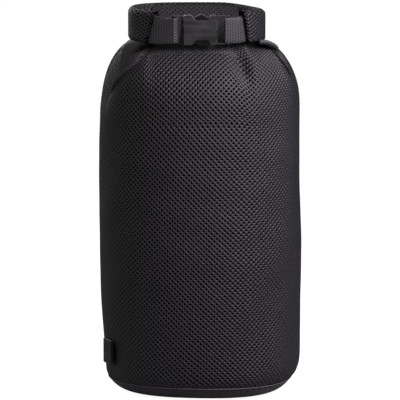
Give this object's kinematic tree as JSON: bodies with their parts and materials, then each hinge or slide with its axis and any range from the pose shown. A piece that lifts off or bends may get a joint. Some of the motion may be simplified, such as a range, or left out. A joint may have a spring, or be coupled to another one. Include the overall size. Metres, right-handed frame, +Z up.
{
  "type": "mesh stuff sack",
  "caption": "Filled roll-top stuff sack of black spacer mesh on an oval base, its rolled mouth bent into a carrying loop and clipped in front by a side-release buckle on webbing.",
  "frame": {"origin": "on the floor under the middle of the base, on the base's flat underside", "axes": "+Z up, the front with the buckle faces -Y, +X to the right seen from the front"},
  "size_m": [0.2024, 0.1742, 0.386],
  "materials": {
    "mesh_cloth": "matte open spacer mesh",
    "base_cloth": "matte close plain weave",
    "webbing": "matte ribbed weave",
    "buckle_plastic": "fine satin"
  },
  "bodies": {
    "root": {"body_wall": "mesh_cloth", "base_panel": "base_cloth", "rolled_mouth": "mesh_cloth", "strap_left": "webbing", "strap_right": "webbing", "buckle_socket": "buckle_plastic", "buckle_plug": "buckle_plastic", "side_tab": "webbing"}
  },
  "joints": []
}
